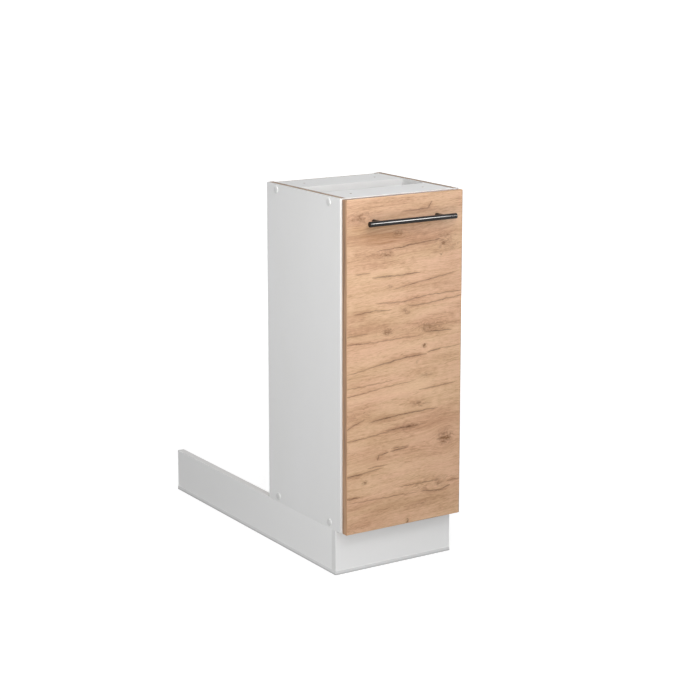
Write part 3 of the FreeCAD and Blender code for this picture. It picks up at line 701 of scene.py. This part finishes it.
def oak_cracks(graph, wood, place, fleck):
    """Broken dark cracks, each in a soft darker border."""
    split, halo = cracks(graph, ragged(graph, place, CRACK_TREMBLE, CRACK_RAGGED), crack_group())
    wood = graph.mix(graph.math("MULTIPLY", halo, HALO_DARK), wood, colour(OAK_SHADE), "MULTIPLY")
    broken = graph.math("MULTIPLY", split, graph.spread(fleck, *CRACK_FADE))
    return graph.mix(graph.math("MULTIPLY", broken, CRACK_DARK), wood, colour(OAK_CRACK))


def oak_front():
    """Oak decor of the door's faces: level grain that leans a little, with cracks, knots, clouds and a
    painted shadow under the handle's bar.
    """
    made, graph = material("finish_oak_decor")
    place = oak_place(graph)
    spot_tree = spot_group()
    grain, burl = oak_grain(graph, place, spot_tree)
    broad = graph.noise(grain, BROAD_GRAIN)
    streak = graph.noise(grain, STREAK_GRAIN, detail=6.0, roughness=0.72)
    fine = graph.noise(grain, FINE_GRAIN, detail=4.0, roughness=0.7)
    fleck = graph.noise(place, FLECK_GRAIN, roughness=0.65)
    tone = graph.math("MULTIPLY_ADD", broad, BROAD_SHARE, graph.math("MULTIPLY", streak, STREAK_SHARE))
    tone = graph.math("MULTIPLY_ADD", fine, FINE_SHARE, tone)
    tone = graph.math("MULTIPLY_ADD", spots(graph, place, spot_tree, PALES), PALE_SHIFT, tone)
    wood = oak_lines(graph, graph.ramp(tone, OAK_STOPS), grain, fine, broad, burl)
    wood = oak_curls(graph, wood, grain, burl, fleck)
    # Clouds of the decor, with the painted shadow of the handle's bar
    wood = oak_clouds_and_bar_shadow(graph, wood, place, spot_tree, streak)
    wood = oak_knots(graph, wood, place, spot_tree, fleck)
    wood = oak_pores(graph, wood, grain)
    wood = oak_cracks(graph, wood, place, fleck)
    height = graph.noise(place, RELIEF_GRAIN, roughness=0.6)
    surface(graph, wood, graph.spread(tone, *OAK_ROUGHNESS), height, OAK_RELIEF, {GLOSS: OAK_GLOSS})
    return made


def edge_tone(graph, coords, long_scale, short_scale):
    streak = graph.noise(coords, long_scale, detail=4.0, roughness=0.6)
    fine = graph.noise(coords, short_scale, detail=2.0)
    return graph.blend(streak, EDGE_STREAK_SHARE, fine)


def oak_upright_edge():
    """Oak band of the door's upright edges, with its grain along the band."""
    made, graph = material("finish_oak_edge_upright")
    tone = edge_tone(graph, graph.places()["Object"], UPRIGHT_STREAK, UPRIGHT_FINE)
    wood = graph.ramp(tone, OAK_EDGE_STOPS)
    surface(graph, wood, graph.spread(tone, *EDGE_ROUGHNESS), tone, EDGE_RELIEF, {GLOSS: EDGE_GLOSS})
    return made


def oak_level_edge():
    """Oak band of the door's top and bottom edge: painted shade darkens its flat and a painted highlight
    makes its arris paler.
    """
    made, graph = material("finish_oak_edge_level")
    source = graph.places()
    tone = edge_tone(graph, source["Object"], LEVEL_STREAK, LEVEL_FINE)
    facing = graph.math("ABSOLUTE", graph.part(source["Normal"], "Z"))
    flat = graph.math("GREATER_THAN", facing, FLAT_FACING)
    # Painted shade on the flat faces, painted highlight on the arris
    wood = graph.mix(flat, graph.ramp(tone, OAK_ARRIS_HIGHLIGHT_STOPS), graph.ramp(tone, OAK_TOP_SHADE_STOPS))
    surface(graph, wood, graph.spread(tone, *EDGE_ROUGHNESS), tone, EDGE_RELIEF, {GLOSS: LEVEL_EDGE_GLOSS})
    return made


def chip_core(graph, coords):
    """Raw edge of a chipboard: pale and brown flakes pressed flat. Returns its colour and its height."""
    stretched = graph.vector("MULTIPLY", coords, CHIP_FLAKES)
    flakes = graph.node("ShaderNodeTexVoronoi", {"Vector": stretched, "Scale": 1.0})
    dust = graph.noise(coords, even(CHIP_DUST), detail=2.0)
    shade = graph.node("ShaderNodeSeparateColor", {"Color": flakes.outputs["Color"]}).outputs[0]
    tone = graph.blend(shade, CHIP_FLAKE_SHARE, dust)
    return graph.ramp(tone, CHIP_STOPS), tone


def film_tone(graph, coords, grain):
    """The tone of a white film or plastic, with a faint cloud in it, and its fine grain."""
    pearl = graph.noise(coords, even(grain), detail=2.0)
    cloud = graph.noise(coords, FILM_CLOUD)
    return graph.blend(pearl, FILM_GRAIN_SHARE, cloud), pearl


def white_film(graph, coords):
    """Pearl-grained white film: its colour, roughness and height."""
    tone, pearl = film_tone(graph, coords, FILM_GRAIN)
    return graph.two_tone(tone, FILM_COLOURS), graph.over_noise(tone, FILM_ROUGHNESS), pearl


def film_line(graph, coords):
    """1 on the pale lines that the film leaves along both faces of an upright board's raw edge."""
    across = graph.math("ABSOLUTE", graph.part(coords, "X"))
    off_middle = graph.math("ABSOLUTE", graph.math("SUBTRACT", across, SIDE_BOARD_MIDDLE))
    return graph.math("GREATER_THAN", off_middle, SIDE_BOARD_HALF_CORE)


def faces_along(graph, normal, axis):
    """1 on the faces that look either way along an axis."""
    return graph.math("GREATER_THAN", graph.math("ABSOLUTE", graph.part(normal, axis)), FACING)


def white_board(name, faced):
    """A white board: film on the two faces across one axis, raw chipboard on its edges and in its holes."""
    made, graph = material(name)
    source = graph.places()
    coords = source["Object"]
    film = faces_along(graph, source["Normal"], faced)
    if faced == "X":
        film = graph.math("MAXIMUM", film, film_line(graph, coords))
    core, flakes = chip_core(graph, coords)
    base, rough, pearl = white_film(graph, coords)
    height = graph.mix(film, flakes, graph.math("MULTIPLY", pearl, BOARD_PEARL))
    roughness = graph.mix(film, grey(CHIP_ROUGHNESS), rough)
    surface(graph, graph.mix(film, core, base), roughness, height, BOARD_RELIEF, {GLOSS: FILM_GLOSS})
    return made


def plain_white(name, codes, roughness, grain):
    """A white film or plastic all over, with a fine grain and a faint cloud."""
    made, graph = material(name)
    tone, pearl = film_tone(graph, graph.places()["Object"], grain)
    rough = graph.over_noise(tone, (roughness - PLASTIC_SWING, roughness + PLASTIC_SWING))
    surface(graph, graph.two_tone(tone, codes), rough, pearl, FILM_RELIEF, {GLOSS: FILM_GLOSS})
    return made


def plinth_board(name, shaded_axis):
    """A plinth board: white film painted a little paler to lift the shade under the door, with painted
    shade making its edges that face along one axis slightly greyer.
    """
    made, graph = material(name)
    source = graph.places()
    edge = faces_along(graph, source["Normal"], shaded_axis)
    tone, pearl = film_tone(graph, source["Object"], FILM_GRAIN)
    film = graph.two_tone(pearl, PLINTH_COLOURS)
    # Painted shade on the edges that face along the axis
    base = graph.mix(edge, film, graph.two_tone(pearl, PLINTH_EDGE_SHADE_COLOURS))
    surface(graph, base, graph.over_noise(tone, FILM_ROUGHNESS), pearl, FILM_RELIEF, {GLOSS: FILM_GLOSS})
    return made


def hardboard():
    """Thin back: white lacquer on its inner face, brown pressed fibres outside."""
    made, graph = material("finish_white_hardboard")
    source = graph.places()
    coords = source["Object"]
    inner = graph.math("LESS_THAN", graph.part(source["Normal"], "Y"), -FACING)
    fibres = graph.noise(coords, even(FIBRE_GRAIN), detail=5.0, roughness=0.7)
    tone = graph.blend(fibres, FIBRE_SHARE, graph.noise(coords, even(FIBRE_BLOTCH)))
    base, rough, pearl = white_film(graph, coords)
    height = graph.mix(inner, fibres, graph.math("MULTIPLY", pearl, FIBRE_PEARL))
    roughness = graph.mix(inner, grey(FIBRE_ROUGHNESS), rough)
    surface(graph, graph.mix(inner, graph.ramp(tone, FIBRE_STOPS), base), roughness, height, FIBRE_RELIEF)
    return made


def metal(name, codes, roughness, brushed):
    """A metal with faint brush marks along the long direction given by the stretch."""
    made, graph = material(name)
    coords = graph.places()["Object"]
    marks = graph.noise(coords, brushed, roughness=0.6)
    tone = graph.blend(marks, BRUSH_SHARE, graph.noise(coords, even(BRUSH_CLOUD), detail=2.0))
    rough = graph.over_noise(tone, (roughness - BRUSH_SMOOTHER, roughness + BRUSH_ROUGHER))
    surface(graph, graph.two_tone(tone, codes), rough, marks, BRUSH_RELIEF, {"Metallic": 1.0})
    return made


def moulded(name, codes, roughness, grain):
    """A moulded plastic with an eroded grain."""
    made, graph = material(name)
    coords = graph.places()["Object"]
    spark = graph.noise(coords, even(grain), roughness=0.6)
    tone = graph.blend(spark, MOULD_SHARE, graph.noise(coords, even(MOULD_CLOUD), detail=2.0))
    rough = graph.over_noise(tone, (roughness - MOULD_SWING, roughness + MOULD_SWING))
    surface(graph, graph.two_tone(tone, codes), rough, spark, MOULD_RELIEF)
    return made


def seal_strip():
    """Soft pale grey lip, with a painted shadow that darkens it along the floor."""
    made, graph = material("finish_grey_seal")
    coords = graph.places()["Object"]
    above_foot = graph.spread(graph.part(coords, "Z"), SEAL_FOOT, 2 * SEAL_FOOT)
    spark = graph.noise(coords, even(SEAL_GRAIN), roughness=0.6)
    # Painted shadow where the lip meets the floor
    base = graph.mix(above_foot, colour(SEAL_FOOT_SHADOW_COLOUR), graph.two_tone(spark, SEAL_COLOURS))
    surface(graph, base, graph.over_noise(spark, SEAL_ROUGHNESS), spark, SEAL_RELIEF)
    return made


def beech():
    made, graph = material("finish_beech")
    fleck = graph.noise(graph.places()["Object"], BEECH_GRAIN)
    base = graph.ramp(fleck, BEECH_STOPS)
    surface(graph, base, graph.over_noise(fleck, BEECH_ROUGHNESS), fleck, BEECH_RELIEF)
    return made


def clear_bumper():
    made, graph = material("finish_clear_bumper")
    haze = graph.noise(graph.places()["Object"], even(BUMPER_HAZE), detail=2.0)
    base = graph.two_tone(haze, BUMPER_COLOURS)
    plain = {"Transmission Weight": BUMPER_CLEAR, "IOR": BUMPER_IOR}
    surface(graph, base, graph.over_noise(haze, BUMPER_ROUGHNESS), haze, BUMPER_RELIEF, plain)
    return made


def named_finishes():
    """Materials of the boards, the door, the dowels and the bumpers, by node name."""
    upright = white_board("finish_white_melamine_upright", "X")
    level = white_board("finish_white_melamine_level", "Z")
    oak_upright = oak_upright_edge()
    oak_level = oak_level_edge()
    return {
        "left_side_panel": upright, "right_side_panel": upright, "front_top_rail": level,
        "rear_top_rail": level, "bottom_panel": level, "shelf": level, "back_panel": hardboard(),
        "front_plinth_panel": plinth_board("finish_front_plinth", "X"),
        "side_plinth_panel": plinth_board("finish_side_plinth", "Z"),
        "door_panel": oak_front(), "door_left_edge_band": oak_upright, "door_right_edge_band": oak_upright,
        "door_top_edge_band": oak_level, "door_bottom_edge_band": oak_level,
        "carcass_dowels": beech(), "door_bumpers": clear_bumper(),
    }


def ending_finishes():
    """Materials of the bands, fittings and fasteners, by the ending of the node's name."""
    band = plain_white("finish_white_edge_band", ("F2F2F1", "F6F6F6"), roughness=0.4, grain=900)
    plastic = plain_white("finish_white_plastic", ("D8D8D7", "E0E0DF"), roughness=0.4, grain=700)
    clip = moulded("finish_black_plastic", ("151515", "2A2A2B"), roughness=0.5, grain=1500)
    gunmetal = metal("finish_dark_metal", ("2B2A2A", "3A3938"), roughness=0.17, brushed=(25, 2200, 2200))
    nickel = metal("finish_steel", ("A7A7A3", "C3C3BF"), roughness=0.25, brushed=even(600))
    zinc = metal("finish_zinc_screw", ("A9A69A", "CFCCBE"), roughness=0.32, brushed=even(900))
    return {
        "_edge_band": band, "_cover_caps": plastic, "_seal": seal_strip(), "_clips": clip,
        "_leg_socket": clip, "_leg_foot": clip, "_screws": zinc, "_hinge_cup": nickel, "_hinge_arm": nickel,
        "_mounting_plate": nickel, "_hinge_pin": nickel, "_corner_bracket": nickel, "_pins": nickel,
        "handle_bar": gunmetal, "_handle_post": gunmetal,
    }


def materials():
    """Every node's material, by node name."""
    made = named_finishes()
    endings = ending_finishes()
    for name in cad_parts:
        for ending, finish in endings.items():
            if name not in made and name.endswith(ending):
                made[name] = finish
    return made


def dress_nodes(made):
    for name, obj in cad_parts.items():
        obj.data.materials.clear()
        obj.data.materials.append(made[name])


def plain_round(radius, way, angle):
    return radius


def ring_points(profile, centre, axis, outline):
    """The points of a profile of (radius, way along the axis), turned round a centre, ring after ring."""
    first = Vector((axis[2], axis[0], axis[1]))
    second = axis.cross(first)
    points = []
    for radius, way in profile:
        for step in range(LATHE_STEPS):
            angle = math.tau * step / LATHE_STEPS
            spoke = math.cos(angle) * first + math.sin(angle) * second
            points.append(centre + way * axis + outline(radius, way, angle) * spoke)
    return points


def ring_faces(start, count, hollow):
    """Faces between the rings; a hollow piece joins its last ring to its first, another has flat ends."""
    rings = [start + index * LATHE_STEPS for index in range(count)]
    bands = list(zip(rings, rings[1:]))
    faces = []
    if hollow:
        bands.append((rings[-1], rings[0]))
    else:
        faces.append([rings[0] + step for step in reversed(range(LATHE_STEPS))])
        faces.append([rings[-1] + step for step in range(LATHE_STEPS)])
    for low, high in bands:
        for step in range(LATHE_STEPS):
            following = (step + 1) % LATHE_STEPS
            faces.append((low + step, low + following, high + following, high + step))
    return faces


def lathe(name, profile, centres, along, hollow=False, outline=plain_round):
    """Round pieces in one mesh, one at each centre; the outline gives the radius at each angle."""
    vertices = []
    faces = []
    for centre in centres:
        faces += ring_faces(len(vertices), len(profile), hollow)
        vertices += ring_points(profile, Vector(centre), Vector(along), outline)
    mesh = bpy.data.meshes.new(name)
    mesh.from_pydata(vertices, [], faces)
    mesh.shade_smooth()
    mesh.set_sharp_from_angle(angle=SHARP_ANGLE)
    piece = bpy.data.objects.new(name, mesh)
    bpy.context.scene.collection.objects.link(piece)
    return piece


def put(piece, finish, body, slot, *nodes):
    piece.data.materials.append(finish)
    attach(piece, body)
    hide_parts(*nodes)


def dome(radius, high, rim):
    """The profile of a low dome on a straight rim."""
    shares = [step / DOME_STEPS for step in range(DOME_STEPS)]
    rounded = [(radius * (1 - share), rim + (high - rim) * (1 - (1 - share) ** 2)) for share in shares]
    return [(radius, 0.0)] + rounded


def quarter_round(radius, across, low, high):
    """A rounded edge: from the full radius at one level to a smaller radius at the other."""
    turns = [math.pi / 2 * step / ROUND_STEPS for step in range(ROUND_STEPS + 1)]
    inside = radius - across
    return [(inside + across * math.cos(turn), low + (high - low) * math.sin(turn)) for turn in turns]


def smooth_bar(made):
    """The handle's bar, with ends that are rounded off."""
    low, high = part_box("handle_bar")
    radius = (high[2] - low[2]) / 2
    length = high[0] - low[0]
    first_end = quarter_round(radius, BAR_ROUND, BAR_ROUND, 0.0)
    last_end = quarter_round(radius, BAR_ROUND, length - BAR_ROUND, length)
    profile = first_end[::-1] + last_end
    centre = (low[0], (low[1] + high[1]) / 2, (low[2] + high[2]) / 2)
    bar = lathe("smooth_handle_bar", profile, [centre], RIGHT)
    put(bar, made["handle_bar"], "door", "dark_metal", "handle_bar")


def smooth_caps(made):
    """Cover caps: round white buttons with a rounded shoulder and a flat top."""
    for side, along in (("left", LEFT), ("right", RIGHT)):
        node = side + "_cover_caps"
        low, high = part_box(node)
        panel_low, panel_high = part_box(side + "_side_panel")
        face = panel_low[0] if side == "left" else panel_high[0]
        stand = panel_low[0] - low[0] if side == "left" else high[0] - panel_high[0]
        profile = [(CAP_RADIUS, 0.0)] + quarter_round(CAP_RADIUS, CAP_SHOULDER, CAP_RIM, stand)
        centres = [(face, y, z) for y in (low[1] + CAP_RADIUS, high[1] - CAP_RADIUS)
                   for z in (low[2] + CAP_RADIUS, high[2] - CAP_RADIUS)]
        buttons = lathe("smooth_" + node, profile, centres, along)
        put(buttons, made[node], "carcass", "white_plastic", node)


def domed_bumpers(made):
    """Soft clear dots that the door closes on."""
    low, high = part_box("door_bumpers")
    radius = (high[0] - low[0]) / 2
    thick = high[1] - low[1]
    centres = [(low[0] + radius, high[1], z) for z in (low[2] + radius, high[2] - radius)]
    dots = lathe("domed_door_bumpers", dome(radius, thick, BUMPER_RIM * thick), centres, FRONT)
    put(dots, made["door_bumpers"], "carcass", "clear_bumper", "door_bumpers")


def wave(count, angle):
    """A wave round a piece: 0 at its crests and 1 in its valleys."""
    return 0.5 - 0.5 * math.cos(count * angle)


def ribbed(radius, way, angle):
    """Upright ribs on the tube of a leg's socket."""
    if RIB_START < way < RIB_END and radius > RIB_INSIDE:
        return radius - RIB_DEEP * wave(RIB_COUNT, angle) ** 2
    return radius


def threaded(radius, way, angle):
    """A thread on a foot's stem and a knurl round its pad."""
    if radius > THREAD_RADIUS:
        return radius - KNURL_DEEP * wave(KNURL_COUNT, angle)
    if FOOT_THICK < way < THREAD_END:
        turn = (way / THREAD_PITCH - angle / math.tau) % 1.0
        return radius - THREAD_DEEP * abs(2 * turn - 1)
    return radius


def legs(made):
    """Ribbed sockets under the bottom panel, and feet that screw into them."""
    tube = [(radius * MM, way * MM) for radius, way in SOCKET_PROFILE]
    pad = [(radius * MM, way * MM) for radius, way in PAD_PROFILE]
    thread_steps = round((THREAD_END - FOOT_THICK) / THREAD_STEP)
    thread = [(THREAD_RADIUS, FOOT_THICK + step * THREAD_STEP) for step in range(thread_steps + 1)]
    for leg in LEGS:
        low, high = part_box(leg + "_leg_foot")
        middle = ((low[0] + high[0]) / 2, (low[1] + high[1]) / 2)
        stem = thread + [(THREAD_RADIUS, high[2] - low[2])]
        foot = lathe(leg + "_threaded_foot", pad + stem, [(*middle, low[2])], UP, outline=threaded)
        put(foot, made[leg + "_leg_foot"], leg + "_foot", "black_plastic", leg + "_leg_foot")
        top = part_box(leg + "_leg_socket")[1][2]
        socket = lathe(leg + "_ribbed_socket", tube, [(*middle, top)], DOWN, hollow=True, outline=ribbed)
        put(socket, made[leg + "_leg_socket"], "carcass", "black_plastic", leg + "_leg_socket")


def light_path_share(graph):
    """1 for what the camera, a mirror or a clear piece sees, 0 for the light that falls on things."""
    path = graph.node("ShaderNodeLightPath").outputs
    seen = graph.math("MAXIMUM", path["Is Camera Ray"], path["Is Glossy Ray"])
    return graph.math("MAXIMUM", seen, path["Is Transmission Ray"])


def floor_material():
    """Pale floor that glows just enough to look white, and still shows the object's shadow."""
    made, graph = material("studio_floor")
    share = light_path_share(graph)
    look = graph.mix(share, colour(FLOOR_BOUNCE), colour(FLOOR_SEEN))
    matt = graph.node("ShaderNodeBsdfDiffuse", {"Color": look})
    off = graph.vector("LENGTH", graph.places()["Object"])
    level = graph.spread(off, FLOOR_NEAR, FLOOR_FAR, FLOOR_GLOW, FLOOR_FAR_GLOW, smooth=True)
    strength = graph.math("MULTIPLY", share, level)
    glow = graph.node("ShaderNodeEmission", {"Color": WHITE, "Strength": strength})
    both = graph.node("ShaderNodeAddShader")
    graph.tree.links.new(matt.outputs[0], both.inputs[0])
    graph.tree.links.new(glow.outputs[0], both.inputs[1])
    output = graph.node("ShaderNodeOutputMaterial")
    graph.tree.links.new(both.outputs[0], output.inputs["Surface"])
    return made


def floor():
    bpy.ops.mesh.primitive_plane_add(size=FLOOR_SIZE)
    plane = bpy.context.object
    plane.name = "studio_floor"
    plane.data.materials.append(floor_material())


def sky():
    """White where it is seen, and a plain soft light on the object."""
    world = bpy.data.worlds.new("studio")
    bpy.context.scene.world = world
    world.use_nodes = True
    graph = Graph(world.node_tree)
    rise = graph.part(graph.places()["Generated"], "Z")
    light = graph.spread(rise, 0.0, SKY_FADE, SKY_LOW, SKY_HIGH, smooth=True)
    strength = graph.spread(light_path_share(graph), 0.0, 1.0, light, 1.0)
    back = graph.node("ShaderNodeBackground", {"Color": WHITE, "Strength": strength})
    output = graph.node("ShaderNodeOutputWorld")
    graph.tree.links.new(back.outputs[0], output.inputs["Surface"])


def lamps():
    for name, place, target, size, spread, watts, gloss_only in LAMPS:
        data = bpy.data.lights.new(name, "AREA")
        data.shape = "RECTANGLE"
        data.size, data.size_y = size
        data.spread = math.radians(spread)
        data.energy = watts
        lamp = bpy.data.objects.new(name, data)
        lamp.location = place
        lamp.rotation_euler = (Vector(target) - Vector(place)).to_track_quat("-Z", "Y").to_euler()
        lamp.visible_camera = False
        lamp.visible_diffuse = not gloss_only
        bpy.context.scene.collection.objects.link(lamp)


def camera():
    data = bpy.data.cameras.new("camera")
    data.lens = CAMERA_LENS
    data.sensor_width = CAMERA_SENSOR
    data.shift_y = CAMERA_SHIFT_Y
    azimuth = math.radians(CAMERA_AZIMUTH)
    elevation = math.radians(CAMERA_ELEVATION)
    level = math.cos(elevation)
    back = Vector((math.sin(azimuth) * level, -math.cos(azimuth) * level, math.sin(elevation)))
    seen_from = bpy.data.objects.new("camera", data)
    seen_from.location = CAMERA_PLACE
    seen_from.rotation_euler = (-back).to_track_quat("-Z", "Y").to_euler()
    bpy.context.scene.collection.objects.link(seen_from)
    bpy.context.scene.camera = seen_from


finishes = materials()
dress_nodes(finishes)
smooth_bar(finishes)
smooth_caps(finishes)
domed_bumpers(finishes)
legs(finishes)
floor()
sky()
lamps()
camera()
bpy.context.scene.view_settings.view_transform = "Standard"
